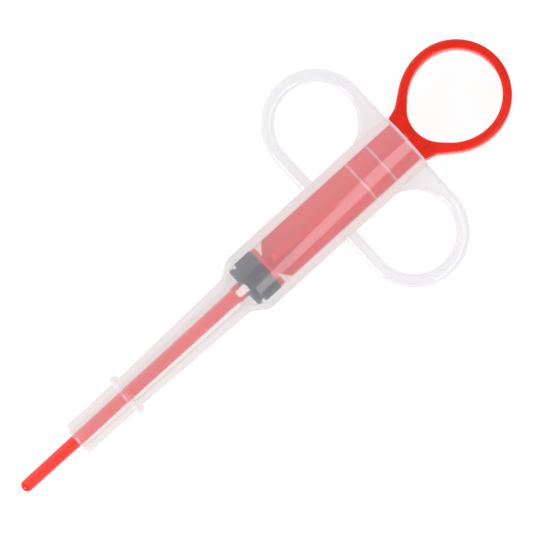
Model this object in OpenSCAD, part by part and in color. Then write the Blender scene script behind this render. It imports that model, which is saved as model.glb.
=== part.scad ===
// Oral dosing syringe with finger rings on the barrel and a thumb ring on the plunger.
// It lies flat: X runs along the barrel, from the push rod at -X to the thumb ring at +X,
// and the finger rings lie in the XY plane, with the plunger turned a little about its own
// axis. The origin is on the barrel's axis, at the front of the bead where the nozzle's
// straight spigot ends. Everything is in millimetres.

/* [Nozzle] */
// Outside diameter of the straight spigot that a soft tip pushes onto
spigot_d = 8.5; // [8:0.1:9]
// Length of the spigot, from its mouth to the bead
spigot_l = 15.3; // [12:0.1:18]
// Diameter over the bead
bead_d = 11.2; // [10.8:0.1:11.6]
// Width of the bead along the nozzle
bead_w = 2.2; // [2:0.1:2.6]
// Outside diameter of the nozzle where it meets the shoulder
taper_d = 10.4; // [10:0.1:11]
// Length of the tapered nozzle between the bead and the shoulder
taper_l = 34.2; // [30:0.1:40]
// Bore diameter at the mouth
mouth_bore_d = 5.2; // [4.8:0.1:5.6]
// Bore diameter at the rear of the nozzle
nozzle_bore_d = 6.4; // [6:0.1:6.8]

/* [Barrel] */
// Outside diameter of the tube
barrel_d = 15.8; // [15:0.1:16.6]
// Bore diameter of the tube
bore_d = 11.8; // [11.6:0.1:12]
// Length of the conical shoulder between the nozzle and the tube
shoulder_l = 3.9; // [3.5:0.1:4.5]
// Length of the tube, from the shoulder to the rear rim
tube_l = 51.5; // [48:0.5:60]
// How far the retaining beads stand out of the bore's wall
retainer_h = 0.25; // [0.2:0.05:0.3]
// Distance from the rear rim to the front retaining bead
front_retainer_back = 14.95; // [14:0.05:16]
// Distance from the rear rim to the rear retaining bead
rear_retainer_back = 8.4; // [7:0.1:10]

/* [Finger rings] */
// Diameter of the finger holes
finger_hole_d = 20.2; // [19:0.1:21]
// Width of the rings' band
finger_band_w = 3.2; // [2.8:0.1:3.6]
// Thickness of the rings
finger_band_t = 3.4; // [3:0.1:4]
// Distance from the barrel's axis to the middle of each finger hole
finger_y = 17.5; // [17:0.1:19]

/* [Plunger] */
// Diameter of the push rod's tip
rod_tip_d = 3.0; // [2.8:0.1:3.2]
// Diameter of the push rod at the collar
rod_root_d = 3.6; // [3.4:0.1:3.8]
// How far the rod stands out of the mouth with the plunger fully home
rod_out_l = 17.4; // [15:0.1:20]
// Diameter of the collar that holds the seal on
collar_d = 4.2; // [4:0.1:4.4]
// Length of that collar
collar_l = 2.9; // [2.5:0.1:3.2]
// Diameter of the spindle inside the seal
spindle_d = 3.5; // [3.3:0.1:3.5]
// Diameter of the disc behind the seal
disc_d = 11.2; // [11:0.05:11.25]
// Thickness of that disc
disc_t = 1.2; // [1:0.1:1.5]
// Width of the cross-shaped stem
stem_w = 11.1; // [10.8:0.05:11.2]
// Thickness of the stem's fins
fin_t = 1.9; // [1.6:0.1:2.2]
// Width of the fins where they start at the disc
fin_root_w = 5.5; // [5:0.1:6]
// Length over which the fins widen
fin_taper_l = 2.2; // [2:0.1:3]
// Angle that the plunger is turned about its own axis as the syringe lies
plunger_turn = -8; // [-10:1:10]

/* [Thumb ring] */
// Outside diameter of the thumb ring
thumb_d = 26.8; // [26:0.1:28]
// Width of the ring's band
thumb_band_w = 2.2; // [2:0.05:2.6]
// Thickness of the ring
thumb_band_t = 4.4; // [4:0.1:5]
// Distance from the rear rim to the middle of the thumb ring
thumb_back = 16.0; // [15.8:0.1:16.4]
// Width of the plate that rests on the rim
plate_w = 13.2; // [13:0.1:13.6]

/* [Seal] */
// Length of the seal
seal_l = 7.2; // [7:0.1:7.4]
// Diameter of the lip at the front of the seal
lip_d = 10.8; // [10.6:0.1:11]
// Length of the lip
lip_l = 1.3; // [1.2:0.1:1.4]
// Width of the groove behind the lip
groove_w = 0.8; // [0.6:0.1:1]
// Diameter at the bottom of that groove
groove_d = 9.8; // [9.4:0.1:10]

/* [Hidden] */

natural_plastic = [0.92, 0.90, 0.89, 0.5];
red_plastic = [0.93, 0.16, 0.07];
grey_rubber = [0.33, 0.34, 0.39];

// Clearances between parts that slide or turn on each other
slide_gap = 0.05;
turn_gap = 0.05;
stop_gap = 0.05;
// How far a cutter reaches past the face it cuts
over = 1;

// Places along the barrel
mouth_x = -spigot_l;
shoulder_x = bead_w + taper_l;
tube_x = shoulder_x + shoulder_l;
rim_x = tube_x + tube_l;
bore_x = tube_x - 0.5;
nozzle_bore_x = bore_x - 4.1;
seal_x = bore_x - 0.9;
collar_x = seal_x - turn_gap - collar_l;
disc_x = seal_x + seal_l + turn_gap;
stem_x = disc_x + disc_t;
plate_x = rim_x + stop_gap;
tip_x = mouth_x - rod_out_l;
thumb_x = rim_x + thumb_back;

barrel_r = barrel_d / 2;
bore_r = bore_d / 2;
wall_mid_r = (barrel_r + bore_r) / 2;
finger_mid_r = (finger_hole_d + finger_band_w) / 2;
finger_x = rim_x - 0.2 - finger_mid_r - finger_band_w / 2;
thumb_hole_r = thumb_d / 2 - thumb_band_w;

// Rounds of the moulded edges
mouth_round = 1.2;
bead_round = 0.95 * bead_w / 2;
shoulder_round = 3;
rim_round = 0.5;
finger_edge = 1.2;
retainer_r = 0.5;
// Depth of the lead-in chamfer at the bore's rear end
lead_in = 0.6;
// Steps in each rounded corner
corner_steps = 6;

// The front halves of the thumb ring and of its hole are fuller, with sides of these radii
thumb_side_r = 15.4;
hole_side_r = 12.9;
// The thumb hole is stretched towards the barrel by a smaller circle
thumb_front_r = 8.45;
thumb_front_back = 4.6;
// The stop plate widens by this much on each side, over this length, up to the ring's
// straight flanks, which meet the barrel's axis at this angle
flare_w = 0.9;
flare_l = 2.95;
flank_angle = 36.9;

$fn = 96;

function unit(v) = v / norm(v);
function cross_sign(a, b) = a[0] * b[1] - a[1] * b[0] < 0 ? -1 : 1;

// Points of the arc of radius r that rounds corner b between its neighbours a and c
function corner(a, b, c, r) =
    let (
        to_a = unit(a - b),
        to_c = unit(c - b),
        half = acos(to_a * to_c) / 2,
        centre = b + unit(to_a + to_c) * r / sin(half),
        start = b + to_a * r / tan(half) - centre,
        first = atan2(start[1], start[0]),
        sweep = (180 - 2 * half) * cross_sign(to_c, to_a)
    )
    [for (i = [0 : corner_steps])
        centre + r * [cos(first + sweep * i / corner_steps), sin(first + sweep * i / corner_steps)]];

// An outline of [x, y, radius] corners, with each corner that has a radius rounded
function rounded(points) =
    let (n = len(points), xy = [for (p = points) [p[0], p[1]]])
    [for (i = [0 : n - 1])
        each (points[i][2] > 0
            ? corner(xy[(i + n - 1) % n], xy[i], xy[(i + 1) % n], points[i][2])
            : [xy[i]])];

// Turns an outline of [radius, place along the barrel] into a solid round the barrel's axis
module turned() {
    rotate([0, 90, 0]) rotate_extrude() children();
}

// Rounded-edge section of a ring's band, w wide and t thick
module band_section(w, t, edge) {
    square([w, t - 2 * edge], center = true);
    square([w - 2 * edge, t], center = true);
    for (sx = [-1, 1], sy = [-1, 1])
        translate([sx * (w / 2 - edge), sy * (t / 2 - edge)]) circle(edge, $fn = 32);
}

// A band bent round the Z axis between two angles
module bent_band(mid_r, from, to, w, t, edge) {
    rotate([0, 0, from])
        rotate_extrude(angle = to - from) translate([mid_r, 0]) band_section(w, t, edge);
}

// A straight band of length l along -Y
module straight_band(l, w, t, edge) {
    rotate([90, 0, 0]) linear_extrude(l) band_section(w, t, edge);
}

module barrel_outline() {
    polygon(rounded([
        [0, mouth_x, 0],
        [spigot_d / 2, mouth_x, mouth_round],
        [spigot_d / 2, 0, 0],
        [bead_d / 2, 0, bead_round],
        [bead_d / 2, bead_w, bead_round],
        [spigot_d / 2, bead_w, 0],
        [taper_d / 2, shoulder_x, shoulder_round],
        [barrel_r, tube_x, 0],
        [barrel_r, rim_x, rim_round],
        [0, rim_x, 0]
    ]));
}

module bore_outline() {
    difference() {
        polygon([
            [0, mouth_x - over],
            [mouth_bore_d / 2, mouth_x - over],
            [mouth_bore_d / 2, mouth_x],
            [nozzle_bore_d / 2, nozzle_bore_x],
            [bore_r, bore_x],
            [bore_r, rim_x - lead_in],
            [bore_r + lead_in, rim_x],
            [bore_r + lead_in, rim_x + over],
            [0, rim_x + over]
        ]);
        for (back = [front_retainer_back, rear_retainer_back])
            translate([bore_r + retainer_r - retainer_h, rim_x - back]) circle(retainer_r, $fn = 32);
    }
}

// Finger ring at +Y: the band leaves the barrel straight, runs round the hole and comes
// back to the barrel behind it, where a straight leg and a web fill the corner
module finger_ring() {
    leg_l = finger_y - wall_mid_r;
    translate([finger_x, finger_y, 0]) {
        bent_band(finger_mid_r, -75, 180, finger_band_w, finger_band_t, finger_edge);
        for (side = [-1, 1])
            translate([side * finger_mid_r, 0, 0])
                straight_band(leg_l, finger_band_w, finger_band_t, finger_edge);
        linear_extrude(finger_band_t, center = true) difference() {
            translate([0, -leg_l]) square([finger_mid_r, leg_l]);
            circle(finger_mid_r);
        }
    }
}

// One translucent moulding: nozzle, shoulder, tube and both finger rings
module barrel() {
    color(natural_plastic) difference() {
        union() {
            turned() barrel_outline();
            finger_ring();
            mirror([0, 1, 0]) finger_ring();
        }
        turned() bore_outline();
    }
}

// Soft seal: a chamfered lip, a groove and the land that wipes the bore
module seal() {
    seal_r = bore_r - slide_gap;
    hole_r = spindle_d / 2 + turn_gap;
    body_x = seal_x + lip_l + groove_w;
    end_x = seal_x + seal_l;
    color(grey_rubber) turned() polygon(rounded([
        [hole_r, seal_x, 0],
        [lip_d / 2, seal_x, 0.5],
        [lip_d / 2, seal_x + lip_l, 0.3],
        [groove_d / 2, seal_x + lip_l, 0],
        [groove_d / 2, body_x, 0],
        [seal_r, body_x, 0.4],
        [seal_r, end_x, 0.4],
        [hole_r, end_x, 0]
    ]));
}

module push_rod_and_spindle() {
    tip_r = rod_tip_d / 2;
    turned() polygon(rounded([
        [0, tip_x, 0],
        [tip_r, tip_x, tip_r * 0.9],
        [rod_root_d / 2, collar_x, 0],
        [collar_d / 2, collar_x + 0.5, 0],
        [collar_d / 2, seal_x - turn_gap, 0],
        [spindle_d / 2, seal_x - turn_gap, 0],
        [spindle_d / 2, disc_x, 0],
        [disc_d / 2, disc_x, 0.3],
        [disc_d / 2, stem_x, 0.3],
        [0, stem_x, 0]
    ]));
}

// One fin of the cross-shaped stem, seen from above
module fin() {
    linear_extrude(fin_t, center = true) polygon([
        [stem_x - disc_t / 2, -fin_root_w / 2],
        [stem_x, -fin_root_w / 2],
        [stem_x + fin_taper_l, -stem_w / 2],
        [plate_x, -stem_w / 2],
        [plate_x, stem_w / 2],
        [stem_x + fin_taper_l, stem_w / 2],
        [stem_x, fin_root_w / 2],
        [stem_x - disc_t / 2, fin_root_w / 2]
    ]);
}

// A circle whose front half is fuller, with sides of radius side_r
module full_circle(r, side_r) {
    intersection() {
        circle(r);
        translate([0, -r]) square(2 * r);
    }
    intersection() {
        translate([0, r - side_r]) circle(side_r);
        translate([0, side_r - r]) circle(side_r);
        translate([-2 * r, -r]) square(2 * r);
    }
}

// The thumb hole: a full circle for the thumb, stretched towards the barrel. Straight
// flanks touch its side and the smaller circle at its front
module thumb_hole_outline() {
    side = [0, thumb_hole_r - hole_side_r];
    front = [-thumb_front_back, 0];
    way = front - side;
    angle = atan2(way[1], way[0]) - acos((hole_side_r - thumb_front_r) / norm(way));
    out = [cos(angle), sin(angle)];
    big = side + hole_side_r * out;
    small = front + thumb_front_r * out;
    full_circle(thumb_hole_r, hole_side_r);
    translate(front) circle(thumb_front_r);
    polygon([big, small, [small[0], -small[1]], [big[0], -big[1]]]);
}

// Ring and plate in one outline. The plate is wider than the bore, so it stops on the
// rim, and its sides flare out to the ring's flanks
module thumb_ring() {
    front = plate_x - thumb_x;
    flank = [-sin(flank_angle), cos(flank_angle)];
    side = [0, thumb_d / 2 - thumb_side_r] + thumb_side_r * flank;
    translate([thumb_x, 0, 0]) linear_extrude(thumb_band_t, center = true) difference() {
        union() {
            full_circle(thumb_d / 2, thumb_side_r);
            polygon([
                [front, -plate_w / 2],
                [front, plate_w / 2],
                [front + flare_l, plate_w / 2 + flare_w],
                side,
                [side[0], -side[1]],
                [front + flare_l, -plate_w / 2 - flare_w]
            ]);
        }
        thumb_hole_outline();
    }
}

// One red moulding: thumb ring, stop plate, cross-shaped stem, seal spindle and push rod
module plunger() {
    color(red_plastic) rotate([plunger_turn, 0, 0]) {
        push_rod_and_spindle();
        fin();
        rotate([90, 0, 0]) fin();
        thumb_ring();
    }
}

barrel();
seal();
plunger();
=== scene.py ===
import math

import bmesh
import bpy
from mathutils import Matrix, Vector
from mathutils.geometry import tessellate_polygon


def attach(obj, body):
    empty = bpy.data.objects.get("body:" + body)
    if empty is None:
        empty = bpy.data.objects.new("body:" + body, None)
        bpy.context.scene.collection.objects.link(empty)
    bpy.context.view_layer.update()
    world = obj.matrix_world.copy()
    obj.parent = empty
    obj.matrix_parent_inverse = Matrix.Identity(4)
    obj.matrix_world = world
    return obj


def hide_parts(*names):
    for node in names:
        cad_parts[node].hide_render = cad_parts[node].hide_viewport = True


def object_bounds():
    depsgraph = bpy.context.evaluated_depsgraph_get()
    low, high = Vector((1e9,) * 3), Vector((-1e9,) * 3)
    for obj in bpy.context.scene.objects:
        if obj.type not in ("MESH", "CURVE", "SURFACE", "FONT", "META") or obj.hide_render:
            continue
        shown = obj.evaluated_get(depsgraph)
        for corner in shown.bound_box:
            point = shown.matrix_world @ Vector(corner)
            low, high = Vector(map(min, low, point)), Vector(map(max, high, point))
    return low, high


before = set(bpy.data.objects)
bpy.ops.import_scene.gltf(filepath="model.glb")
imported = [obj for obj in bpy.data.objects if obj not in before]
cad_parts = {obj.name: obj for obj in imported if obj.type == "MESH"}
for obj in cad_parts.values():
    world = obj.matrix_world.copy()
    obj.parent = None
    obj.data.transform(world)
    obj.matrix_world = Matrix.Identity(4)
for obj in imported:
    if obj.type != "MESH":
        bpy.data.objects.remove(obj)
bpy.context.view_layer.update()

MM = 0.001
# How many steps go round a turned shape
SEGMENTS = 192

# The world's strength round the sides and overhead, and the radiance of the three lights
WORLD_SIDE, WORLD_TOP = 0.62, 0.20
KEY, FILL, SIDE = 3.8, 0.75, 12.0
# The clear plastic: how much light goes straight through a surface, and how much of the rest
# goes through spread out. natural_plastic() says more.
CLEAR, CLEAR_BORE, HAZE = 0.72, 0.98, 0.52
# The retaining beads and the rear rim: a paler, less clear copy of the plastic, as painted
# highlight along them
CLEAR_BEAD, HAZE_BEAD = 0.5, 0.15
CLEAR_RING, HAZE_RING, SKIN_RING = 0.69, 0.36, 0.03
TINT = (0.947, 0.934, 0.912, 1)
SKIN, GLANCING = 0.04, 0.1

# ---------------------------------------------------------------- places, in mm

SPIGOT_R, BEAD_R, BEAD_W = 4.25, 5.6, 2.2
MOUTH_X, SHOULDER_X, TUBE_X, RIM_X = -15.3, 36.4, 40.3, 91.8
TAPER_R, BARREL_R, BORE_R = 5.2, 7.9, 5.9
MOUTH_BORE_R, NOZZLE_BORE_R, NOZZLE_BORE_X, BORE_X = 2.6, 3.2, 35.7, 39.8
RETAINERS_X = (76.85, 83.4)
FINGER_X, FINGER_Y, FINGER_HOLE_R, FINGER_OUT_R, FINGER_T = 78.3, 17.5, 10.1, 13.3, 3.4
TIP_X, COLLAR_X, SEAL_X, DISC_X, STEM_X, PLATE_X = -32.7, 35.95, 38.9, 46.15, 47.35, 91.85
SEAL_L = 7.2
THUMB_X, THUMB_R, THUMB_HOLE_R, THUMB_T = 107.8, 13.4, 11.2, 4.4
THUMB_SIDE_R, HOLE_SIDE_R, FLANK_ANGLE = 15.4, 12.9, 36.9
THUMB_FRONT_R, THUMB_FRONT_BACK = 8.45, 4.6
# Degrees that the plunger is turned about the barrel's axis
PLUNGER_TURN = -8
# The seal's lip, the groove behind it, and its hole
LIP_R, LIP_L, GROOVE_R, GROOVE_END, SEAL_HOLE_R = 5.4, 1.3, 4.9, 2.1, 1.8
SEAL_GAP = 0.05
# The push rod, its collar, the spindle and the disc
ROD_TIP_R, ROD_ROOT_R, COLLAR_R, SPINDLE_R, DISC_R = 1.5, 1.8, 2.1, 1.75, 5.6
TURN_GAP = 0.05
# The plate before its face is cut: half its front's width, and the corner of its flare,
# sideways from the axis and behind that front
PLATE_FRONT_HALF, FLARE_Y, FLARE_X = 6.3, 7.5, 3.95
# The retaining beads' round, how far its middle lies outside the bore's wall, and its arc
RETAINER_R, RETAINER_IN, RETAINER_START, RETAINER_STEP, RETAINER_STEPS = 0.3, 0.1, 250, 14, 10
# The barrel's bore opens out by this much at the mouth and at the rim
MOUTH_FLARE, RIM_FLARE = 0.5, 0.8
# Degrees past a finger hole's rearmost point at which its edge meets the rear web
WEB_ANGLE = 75
STEM_W, FIN_T, FIN_ROOT_W, FIN_TAPER_L = 11.1, 1.9, 5.5, 2.2


# ---------------------------------------------------------------- outlines

def rounded(points, steps=8):
    """A closed outline from (x, y, radius) corners, with an arc at each rounded corner."""
    out = []
    for i, (x, y, r) in enumerate(points):
        b = Vector((x, y))
        if r <= 0:
            out.append(b)
            continue
        a = Vector(points[i - 1][:2])
        c = Vector(points[(i + 1) % len(points)][:2])
        to_a, to_c = (a - b).normalized(), (c - b).normalized()
        half = to_a.angle(to_c) / 2
        centre = b + (to_a + to_c).normalized() * (r / math.sin(half))
        start = b + to_a * (r / math.tan(half)) - centre
        end = b + to_c * (r / math.tan(half)) - centre
        first = math.atan2(start.y, start.x)
        sweep = (math.pi - 2 * half) * (1 if start.x * end.y - start.y * end.x > 0 else -1)
        for k in range(steps + 1):
            t = first + sweep * k / steps
            out.append(centre + Vector((r * math.cos(t), r * math.sin(t))))
    return out


def arc(centre, r, start, end, steps):
    """Points from start to end degrees round a centre."""
    out = []
    for k in range(steps + 1):
        t = math.radians(start + (end - start) * k / steps)
        out.append(Vector((centre[0] + r * math.cos(t), centre[1] + r * math.sin(t))))
    return out


def thin_out(loop, gap=1e-4):
    """The loop without points that repeat the one before."""
    return [p for i, p in enumerate(loop) if (p - loop[i - 1]).length > gap]


def moved_in(loop, d):
    """A counter-clockwise loop moved into its inside by d (outside when d is negative)."""
    out = []
    n = len(loop)
    for i in range(n):
        before = (loop[i] - loop[i - 1]).normalized()
        after = (loop[(i + 1) % n] - loop[i]).normalized()
        n1, n2 = Vector((-before.y, before.x)), Vector((-after.y, after.x))
        mid = (n1 + n2).normalized()
        out.append(loop[i] + mid * (d / max(0.3, mid.dot(n1))))
    return out


# ---------------------------------------------------------------- meshes

def facing_out(bm):
    """The closed mesh with every face turned outwards."""
    bmesh.ops.recalc_face_normals(bm, faces=bm.faces)
    if bm.calc_volume(signed=True) < 0:
        bmesh.ops.reverse_faces(bm, faces=bm.faces)
    return bm


def turned(outline, segments=SEGMENTS):
    """A closed outline of (radius, place along X) turned round the X axis."""
    bm = bmesh.new()
    rings = []
    for r, x in outline:
        if r < 1e-5:
            rings.append([bm.verts.new((x, 0, 0))])
            continue
        ring = []
        for k in range(segments):
            t = 2 * math.pi * k / segments
            ring.append(bm.verts.new((x, r * math.cos(t), r * math.sin(t))))
        rings.append(ring)
    for a, b in zip(rings, rings[1:] + rings[:1]):
        if len(a) == 1 and len(b) == 1:
            continue
        for k in range(segments):
            j = (k + 1) % segments
            if len(a) == 1:
                bm.faces.new((a[0], b[j], b[k]))
            elif len(b) == 1:
                bm.faces.new((a[k], a[j], b[0]))
            else:
                bm.faces.new((a[k], a[j], b[j], b[k]))
    return facing_out(bm)


def plate(outer, holes, thickness, edge, hole_edge=None, steps=7, place=None):
    """A flat plate with holes, whose edges are rounded. edge and hole_edge are the rounds'
    radii, and place turns the plate's coordinates into the part's."""
    bm = bmesh.new()
    place = place or (lambda x, y, z: (x, y, z))
    loops = [(outer, 1, edge)] + [(h, -1, edge if hole_edge is None else hole_edge) for h in holes]
    caps = {-1: [], 1: []}
    for loop, sign, e in loops:
        levels = []
        for side in (-1, 1):
            part = [(e + 0.06, 0.0)]
            for k in range(steps + 1):
                t = math.pi / 2 * k / steps
                part.append((e * (1 - math.sin(t)), e * (1 - math.cos(t))))
            part = [(inset, side * (thickness / 2 - down)) for inset, down in part]
            levels += part if side == -1 else part[::-1]
        rings = []
        for inset, z in levels:
            ring = moved_in(loop, sign * inset)
            rings.append([bm.verts.new(place(p.x, p.y, z)) for p in ring])
        caps[-1].append((moved_in(loop, sign * levels[0][0]), rings[0]))
        caps[1].append((moved_in(loop, sign * levels[-1][0]), rings[-1]))
        for a, b in zip(rings, rings[1:]):
            for k in range(len(a)):
                j = (k + 1) % len(a)
                bm.faces.new((a[k], a[j], b[j], b[k]))
    for side, parts in caps.items():
        flat = [v for _, ring in parts for v in ring]
        for tri in tessellate_polygon([[p.to_3d() for p in loop] for loop, _ in parts]):
            bm.faces.new([flat[i] for i in tri])
    return facing_out(bm)


def as_object(name, bm):
    """An object of the scene that holds the mesh."""
    mesh = bpy.data.meshes.new(name)
    bm.to_mesh(mesh)
    bm.free()
    obj = bpy.data.objects.new(name, mesh)
    bpy.context.scene.collection.objects.link(obj)
    return obj


def combined(obj, others, how="UNION"):
    """One solid from several, worked out now, so that no modifier is left."""
    for other in others:
        mod = obj.modifiers.new("combine", "BOOLEAN")
        mod.operation, mod.solver, mod.object = how, "EXACT", other
        graph = bpy.context.evaluated_depsgraph_get()
        mesh = bpy.data.meshes.new_from_object(obj.evaluated_get(graph))
        obj.modifiers.clear()
        old = obj.data
        obj.data = mesh
        bpy.data.meshes.remove(old)
        spare = other.data
        bpy.data.objects.remove(other)
        bpy.data.meshes.remove(spare)
    obj.data.name = obj.name
    return obj


def done(obj, degrees=32):
    """The finished mesh in metres, with soft shading across all but its sharp edges."""
    bm = bmesh.new()
    bm.from_mesh(obj.data)
    bmesh.ops.remove_doubles(bm, verts=bm.verts, dist=1e-4)
    bmesh.ops.scale(bm, vec=(MM, MM, MM), verts=bm.verts)
    bm.to_mesh(obj.data)
    bm.free()
    obj.data.shade_smooth()
    obj.data.set_sharp_from_angle(angle=math.radians(degrees))


# ---------------------------------------------------------------- barrel

def barrel_outside():
    """The barrel's outer shape without its finger rings, as (radius, place along X)."""
    return rounded([
        (0, MOUTH_X, 0),
        (SPIGOT_R, MOUTH_X, 1.15),
        (SPIGOT_R, 0, 0),
        (BEAD_R, 0, 0.95 * BEAD_W / 2),
        (BEAD_R, BEAD_W, 0.95 * BEAD_W / 2),
        (SPIGOT_R, BEAD_W, 0),
        (TAPER_R, SHOULDER_X, 3),
        (BARREL_R, TUBE_X, 3),
        (BARREL_R, RIM_X, 0.5),
        (0, RIM_X, 0),
    ], 10)


def bore():
    """The hollow through the barrel, with grooves where the retaining beads stand."""
    outline = rounded([
        (0, MOUTH_X - 1, 0),
        (MOUTH_BORE_R + MOUTH_FLARE, MOUTH_X - 1, 0),
        (MOUTH_BORE_R + MOUTH_FLARE, MOUTH_X - 0.3, 0),
        (MOUTH_BORE_R, MOUTH_X + 0.3, 0.4),
        (NOZZLE_BORE_R, NOZZLE_BORE_X, 1.0),
        (BORE_R, BORE_X, 1.0),
        (BORE_R, RIM_X - 0.6, 0.3),
        (BORE_R + RIM_FLARE, RIM_X + 0.2, 0),
        (BORE_R + RIM_FLARE, RIM_X + 1, 0),
        (0, RIM_X + 1, 0),
    ], 10)
    # the retaining beads stand out of the bore's wall
    at = next(i for i, p in enumerate(outline) if abs(p.x - BORE_R) < 1e-5 and p.y > BORE_X + 1)
    beads = []
    for x in RETAINERS_X:
        for k in range(RETAINER_STEPS + 1):
            t = math.radians(RETAINER_START - RETAINER_STEP * k)
            r = BORE_R + RETAINER_IN + RETAINER_R * math.cos(t)
            beads.append(Vector((r, x + RETAINER_R * math.sin(t))))
    return outline[:at] + beads + outline[at:]


def finger_outline():
    """One finger ring, round its own hole's centre, with +Y away from the barrel. The front
    leg is straight, and a web fills the rear corner."""
    foot = -(FINGER_Y - 2)
    loop = [Vector((FINGER_OUT_R, foot))]
    loop += arc((0, 0), FINGER_OUT_R, 0, 180, 96)
    loop += [Vector((-FINGER_OUT_R, foot)), Vector((-FINGER_HOLE_R, foot))]
    loop += arc((0, 0), FINGER_HOLE_R, 180, -WEB_ANGLE, 120)
    loop += [Vector((FINGER_HOLE_R * math.cos(math.radians(WEB_ANGLE)), foot))]
    return thin_out(loop)


def make_barrel():
    """The barrel with its finger rings, bored through."""
    body = as_object("barrel_moulding", turned(barrel_outside()))
    rings = []
    for side in (1, -1):
        def place(x, y, z, side=side):
            return (FINGER_X + x, side * (FINGER_Y + y), z)
        rings.append(as_object("ring", plate(finger_outline(), [], FINGER_T, 1.2, place=place)))
    combined(body, rings)
    combined(body, [as_object("bore", turned(bore()))], "DIFFERENCE")
    done(body)
    return body


# ---------------------------------------------------------------- plunger

def rod_profile():
    """The round parts of the plunger, from the rod's tip to the disc behind the seal."""
    return rounded([
        (0, TIP_X, 0),
        (ROD_TIP_R, TIP_X, 1.35),
        (ROD_ROOT_R, COLLAR_X, 0),
        (COLLAR_R, COLLAR_X + 0.5, 0.2),
        (COLLAR_R, SEAL_X - TURN_GAP, 0),
        (SPINDLE_R, SEAL_X - TURN_GAP, 0),
        (SPINDLE_R, DISC_X, 0),
        (DISC_R, DISC_X, 0.3),
        (DISC_R, STEM_X, 0.3),
        (0, STEM_X, 0),
    ])


def fin_outline():
    """One fin of the stem, from the disc to the plate, narrow where it starts."""
    half, root = STEM_W / 2, FIN_ROOT_W / 2
    return thin_out(rounded([
        (STEM_X - 0.6, -root, 0),
        (STEM_X, -root, 0),
        (STEM_X + FIN_TAPER_L, -half, 0.6),
        (PLATE_X + 0.6, -half, 0),
        (PLATE_X + 0.6, half, 0),
        (STEM_X + FIN_TAPER_L, half, 0.6),
        (STEM_X, root, 0),
        (STEM_X - 0.6, root, 0),
    ]))


def thumb_outlines():
    """The outline of ring and plate, and of the thumb hole, round the thumb ring's centre.
    Their front halves are fuller than a circle, with straight flanks."""
    turn = 90 + FLANK_ANGLE
    low, high = (0, THUMB_SIDE_R - THUMB_R), (0, THUMB_R - THUMB_SIDE_R)
    outer = arc(low, THUMB_SIDE_R, -turn, -90, 30) + arc((0, 0), THUMB_R, -90, 90, 120)
    outer += arc(high, THUMB_SIDE_R, 90, turn, 30)
    front = PLATE_X - 1 - THUMB_X
    outer += rounded([
        (outer[-1].x, outer[-1].y, 0),
        (front + FLARE_X, FLARE_Y, 2.0),
        (front, PLATE_FRONT_HALF, 0),
        (front, -PLATE_FRONT_HALF, 0),
        (front + FLARE_X, -FLARE_Y, 2.0),
        (outer[0].x, outer[0].y, 0),
    ])
    way = Vector((-THUMB_FRONT_BACK, HOLE_SIDE_R - THUMB_HOLE_R))
    tangent = math.acos((HOLE_SIDE_R - THUMB_FRONT_R) / way.length)
    turn = math.degrees(math.atan2(way.y, way.x) - tangent)
    low, high = (0, HOLE_SIDE_R - THUMB_HOLE_R), (0, THUMB_HOLE_R - HOLE_SIDE_R)
    hole = arc(low, HOLE_SIDE_R, -turn, -90, 30) + arc((0, 0), THUMB_HOLE_R, -90, 90, 110)
    hole += arc(high, HOLE_SIDE_R, 90, turn, 30)
    hole += arc((-THUMB_FRONT_BACK, 0), THUMB_FRONT_R, turn, 360 - turn, 50)
    return thin_out(outer), thin_out(hole)


def make_plunger():
    """The plunger in one piece: rod, disc, crossed fins, plate and thumb ring."""
    body = as_object("plunger_moulding", turned(rod_profile()))
    fins = [
        as_object("fin", plate(fin_outline(), [], FIN_T, 0.3)),
        as_object("fin", plate(fin_outline(), [], FIN_T, 0.3, place=lambda x, y, z: (x, -z, y))),
    ]
    outer, hole = thumb_outlines()
    ring = as_object("thumb", plate(outer, [hole], THUMB_T, 0.6, 0.5,
                                    place=lambda x, y, z: (THUMB_X + x, y, z)))
    # the face that meets the rim is cut flat and square
    off = [Vector(p) for p in ((PLATE_X - 3, -9), (PLATE_X, -9), (PLATE_X, 9), (PLATE_X - 3, 9))]
    combined(ring, [as_object("off", plate(off, [], 9, 0.5))], "DIFFERENCE")
    combined(body, fins + [ring])
    body.data.transform(Matrix.Rotation(math.radians(PLUNGER_TURN), 4, "X"))
    done(body)
    return body


# ---------------------------------------------------------------- seal

def make_seal():
    """The rubber seal: a lip, a groove, and a land that stands just clear of the bore."""
    r = BORE_R - SEAL_GAP
    profile = rounded([
        (SEAL_HOLE_R, SEAL_X, 0.2),
        (LIP_R, SEAL_X, 0.5),
        (LIP_R, SEAL_X + LIP_L, 0.3),
        (GROOVE_R, SEAL_X + LIP_L, 0.15),
        (GROOVE_R, SEAL_X + GROOVE_END, 0.15),
        (r, SEAL_X + GROOVE_END, 0.4),
        (r, SEAL_X + SEAL_L, 0.4),
        (SEAL_HOLE_R, SEAL_X + SEAL_L, 0.2),
    ])
    obj = as_object("seal_rubber", turned(profile))
    done(obj)
    return obj


barrel, plunger, seal = make_barrel(), make_plunger(), make_seal()
for obj, body, slot in (
    (barrel, "barrel", "natural_plastic"),
    (plunger, "plunger", "red_plastic"),
    (seal, "seal", "grey_rubber"),
):
    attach(obj, body)
    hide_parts(body)


# ---------------------------------------------------------------- materials

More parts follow.
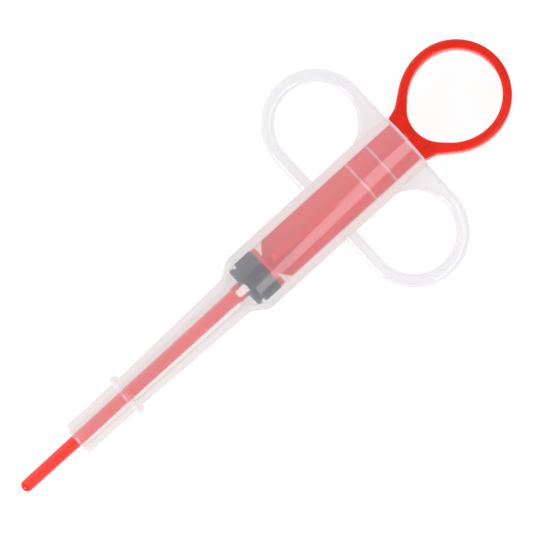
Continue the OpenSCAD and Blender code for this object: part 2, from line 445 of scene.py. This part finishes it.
class Nodes:
    """A short way to write a material's node tree."""

    def __init__(self, name):
        self.material = bpy.data.materials.new(name)
        self.material.use_nodes = True
        self.tree = self.material.node_tree
        self.tree.nodes.clear()
        self.place = self.add("ShaderNodeTexCoord").outputs["Object"]

    def add(self, kind, **inputs):
        node = self.tree.nodes.new(kind)
        for key, value in inputs.items():
            self.put(node.inputs[key.replace("_", " ")], value)
        return node

    def put(self, socket, value):
        if isinstance(value, bpy.types.NodeSocket):
            self.tree.links.new(value, socket)
        else:
            socket.default_value = value

    def stretched(self, x, y, z):
        node = self.add("ShaderNodeMapping", Vector=self.place, Scale=(x, y, z))
        return node.outputs["Vector"]

    def noise(self, scale, detail=3.0, rough=0.5, vector=None):
        node = self.add("ShaderNodeTexNoise", Vector=vector or self.place, Scale=scale,
                        Detail=detail, Roughness=rough)
        return node.outputs["Fac"]

    def ranged(self, value, low, high, start=0.35, end=0.65):
        node = self.add("ShaderNodeMapRange", Value=value, From_Min=start, From_Max=end,
                        To_Min=low, To_Max=high)
        return node.outputs["Result"]

    def maths(self, how, a, b):
        node = self.tree.nodes.new("ShaderNodeMath")
        node.operation = how
        self.put(node.inputs[0], a)
        self.put(node.inputs[1], b)
        return node.outputs[0]

    def mixed(self, factor, a, b):
        node = self.tree.nodes.new("ShaderNodeMix")
        node.data_type = "RGBA"
        self.put(node.inputs["Factor"], factor)
        self.put(node.inputs[6], a)
        self.put(node.inputs[7], b)
        return node.outputs[2]

    def bump(self, height, strength, distance):
        node = self.add("ShaderNodeBump", Height=height, Strength=strength, Distance=distance)
        return node.outputs["Normal"]

    def blend(self, factor, a, b):
        """Shader a where factor is 0, and b where it is 1."""
        node = self.tree.nodes.new("ShaderNodeMixShader")
        for socket, value in zip(node.inputs, (factor, a, b)):
            self.put(socket, value)
        return node.outputs[0]

    def finished(self, shader):
        out = self.add("ShaderNodeOutputMaterial")
        self.tree.links.new(shader, out.inputs["Surface"])
        return self.material

    def principled(self, **inputs):
        return self.finished(self.add("ShaderNodeBsdfPrincipled", **inputs).outputs["BSDF"])


def natural_plastic(name, clear, haze, skin=SKIN, glancing=GLANCING):
    """Cloudy, see-through plastic. clear is the share of light that passes straight through
    one surface; haze is how much of the rest goes through spread out, and what is left comes
    back. skin is the share that the smooth outside mirrors, and glancing what is added to it
    at a glancing angle. With no skin there is no gloss at all."""
    n = Nodes(name)
    flow = n.noise(60, 4, 0.55, n.stretched(0.35, 1, 1))
    fine = n.noise(1800, 2, 0.5)
    colour = n.mixed(n.ranged(flow, 0, 1), (0.86, 0.875, 0.96, 1), (0.89, 0.905, 0.99, 1))
    height = n.maths("ADD", n.maths("MULTIPLY", flow, 3.0), n.maths("MULTIPLY", fine, 0.25))
    normal = n.bump(height, 0.15, 0.00002)
    back = n.add("ShaderNodeBsdfDiffuse", Color=colour, Normal=normal).outputs[0]
    through = n.add("ShaderNodeBsdfTranslucent", Color=colour, Normal=normal).outputs[0]
    open_way = n.add("ShaderNodeBsdfTransparent", Color=TINT).outputs[0]
    body = n.blend(clear, n.blend(haze, back, through), open_way)
    if not skin:
        return n.finished(body)
    scuffs = n.noise(500, 5, 0.6, n.stretched(0.15, 1, 1))
    rough = n.maths("ADD", n.ranged(flow, 0.07, 0.10), n.ranged(scuffs, 0.0, 0.04))
    glossy = n.add("ShaderNodeBsdfGlossy", Color=(1, 1, 1, 1), Roughness=rough, Normal=normal)
    facing = n.add("ShaderNodeLayerWeight", Blend=0.5).outputs["Facing"]
    mirror = n.maths("ADD", n.maths("MULTIPLY", n.maths("POWER", facing, 5.0), glancing), skin)
    outside = n.maths("SUBTRACT", 1.0, n.add("ShaderNodeNewGeometry").outputs["Backfacing"])
    return n.finished(n.blend(n.maths("MULTIPLY", mirror, outside), body, glossy.outputs[0]))


def red_plastic(name, deep, light):
    """Opaque dyed plastic, mixed at random between two shades."""
    n = Nodes(name)
    flow = n.noise(70, 4, 0.55, n.stretched(0.3, 1, 1))
    scuffs = n.noise(900, 5, 0.6, n.stretched(0.12, 1, 1))
    colour = n.mixed(n.ranged(flow, 0, 1), (*deep, 1), (*light, 1))
    rough = n.maths("ADD", n.ranged(flow, 0.24, 0.30), n.ranged(scuffs, 0.0, 0.08))
    height = n.maths("ADD", n.maths("MULTIPLY", flow, 2.0), n.maths("MULTIPLY", scuffs, 0.08))
    return n.principled(Base_Color=colour, Roughness=rough, IOR=1.49, Specular_IOR_Level=0.35,
                        Normal=n.bump(height, 0.2, 0.00002))


def grey_rubber():
    """Dark rubber with a fine grain."""
    n = Nodes("grey_rubber")
    blotch = n.noise(120, 4, 0.6)
    grain = n.noise(2600, 3, 0.6)
    colour = n.mixed(n.ranged(blotch, 0, 1), (0.012, 0.015, 0.038, 1), (0.022, 0.026, 0.052, 1))
    rough = n.ranged(grain, 0.32, 0.44)
    return n.principled(Base_Color=colour, Roughness=rough, IOR=1.5,
                        Normal=n.bump(grain, 0.25, 0.00003))


def of_barrel(face):
    """Which of the barrel's materials a face has: 0 outside, 1 in the clearer bore, 2 on the
    retaining beads and rim, a paler copy that paints their highlights, and 3 on the nozzle's bead
    and the flat finger rings."""
    c = face.center / MM
    r = math.hypot(c.y, c.z)
    # the rim's edge and the retaining beads get the paler copy, a painted highlight
    if c.x > RIM_X - 0.7 and r < BARREL_R + 0.01:
        return 2
    if r > SPIGOT_R + 0.05 and 0 < c.x < BEAD_W:
        return 3
    if r < BORE_R + 0.05 and face.normal.y * c.y + face.normal.z * c.z < 0:
        bead = r < BORE_R - 0.02 and any(abs(c.x - x) < 0.45 for x in RETAINERS_X)
        return 2 if bead else 1
    return 3 if r > BARREL_R + 0.05 else 0


def of_plunger(face):
    """0 for the ring and the bare end of the rod, and 1 for what the barrel covers at rest, which
    is painted a lighter red to make up for the light that the barrel's walls hold back.
    """
    return 1 if MOUTH_X < face.center.x / MM < PLATE_X - 0.01 else 0


def dressed(obj, materials, which=None):
    """Gives the object its materials. which says, for each face, which of them it has."""
    obj.data.materials.clear()
    for material in materials:
        obj.data.materials.append(material)
    if which:
        for face in obj.data.polygons:
            face.material_index = which(face)


dressed(barrel, [
    natural_plastic("natural_plastic", CLEAR, HAZE),
    natural_plastic("natural_plastic_bore", CLEAR_BORE, HAZE, 0, 0),
    natural_plastic("natural_plastic_painted_highlight", CLEAR_BEAD, HAZE_BEAD),
    natural_plastic("natural_plastic_ring", CLEAR_RING, HAZE_RING, SKIN_RING, 0),
], of_barrel)
dressed(plunger, [
    red_plastic("red_plastic", (0.81, 0.015, 0.002), (0.86, 0.022, 0.004)),
    # the second red is the same plastic painted lighter: painted light standing in for what the
    # barrel's walls hold back from the parts inside
    red_plastic("red_plastic_painted_lighter", (0.96, 0.045, 0.035), (1.0, 0.055, 0.045)),
], of_plunger)
dressed(seal, [grey_rubber()])


# ---------------------------------------------------------------- studio

FLOOR_GAP, FLOOR_X, FLOOR_HALF = 0.0002, 0.045, 3
FLOOR_GLOW = 0.86
CAMERA_PLACE, CAMERA_TURN = (0.0465, 0.00024, 0.970), -42.28
# The sensor's width, and the camera's height above the width that it frames, all in mm
SENSOR_W, CAMERA_HEIGHT, FRAMED_W = 36, 970, 127.9


def white_floor():
    """A white floor just under the lying part. It glows, so that it reads as white."""
    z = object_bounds()[0][2] - FLOOR_GAP
    half = FLOOR_HALF
    bm = bmesh.new()
    corners = [bm.verts.new((FLOOR_X + x, y, z))
               for x, y in ((-half, -half), (half, -half), (half, half), (-half, half))]
    bm.faces.new(corners)
    mesh = bpy.data.meshes.new("floor")
    bm.to_mesh(mesh)
    bm.free()
    floor = bpy.data.objects.new("floor", mesh)
    bpy.context.scene.collection.objects.link(floor)
    material = bpy.data.materials.new("floor_white")
    material.use_nodes = True
    shader = material.node_tree.nodes["Principled BSDF"]
    shader.inputs["Base Color"].default_value = (0.2, 0.2, 0.2, 1)
    shader.inputs["Roughness"].default_value = 1.0
    shader.inputs["Specular IOR Level"].default_value = 0.0
    shader.inputs["Emission Color"].default_value = (1, 1, 1, 1)
    shader.inputs["Emission Strength"].default_value = FLOOR_GLOW
    mesh.materials.append(material)


def soft_box(name, place, turn, size, radiance):
    """A flat rectangular light. turn is its euler rotation in degrees; at zero it shines
    straight down."""
    data = bpy.data.lights.new(name, "AREA")
    data.shape, data.size, data.size_y = "RECTANGLE", size[0], size[1]
    data.energy = radiance * math.pi * size[0] * size[1]
    light = bpy.data.objects.new(name, data)
    light.location = place
    light.rotation_euler = [math.radians(t) for t in turn]
    bpy.context.scene.collection.objects.link(light)


def studio():
    """A pale world with a long strip light, a wide fill and a small light at the side."""
    scene = bpy.context.scene
    world = bpy.data.worlds.new("studio")
    world.use_nodes = True
    tree = world.node_tree
    back = tree.nodes["Background"]
    back.inputs["Color"].default_value = (0.98, 0.985, 1.0, 1)
    # bright round the sides, dimmer overhead
    way = tree.nodes.new("ShaderNodeTexCoord")
    split = tree.nodes.new("ShaderNodeSeparateXYZ")
    fade = tree.nodes.new("ShaderNodeMapRange")
    tree.links.new(way.outputs["Generated"], split.inputs[0])
    tree.links.new(split.outputs["Z"], fade.inputs["Value"])
    fade.inputs["From Min"].default_value = 0.2
    fade.inputs["From Max"].default_value = 0.95
    fade.inputs["To Min"].default_value = WORLD_SIDE
    fade.inputs["To Max"].default_value = WORLD_TOP
    tree.links.new(fade.outputs["Result"], back.inputs["Strength"])
    scene.world = world
    soft_box("strip", (0.019, -0.572, 0.60), (0, 0, 70.2), (1.2, 0.19), KEY)
    soft_box("fill", (0.05, 1.10, 0.80), (-54, 0, 0), (2.6, 1.5), FILL)
    soft_box("side", (-0.51, -0.025, 0.24), (0, -66, 0), (0.25, 0.25), SIDE)
    scene.view_settings.view_transform = "Standard"


def camera():
    """Looks straight down on the lying syringe."""
    data = bpy.data.cameras.new("camera")
    data.sensor_width = SENSOR_W
    data.lens = SENSOR_W * CAMERA_HEIGHT / FRAMED_W
    cam = bpy.data.objects.new("camera", data)
    cam.location = CAMERA_PLACE
    cam.rotation_euler = (0, 0, math.radians(CAMERA_TURN))
    bpy.context.scene.collection.objects.link(cam)
    bpy.context.scene.camera = cam


white_floor()
studio()
camera()
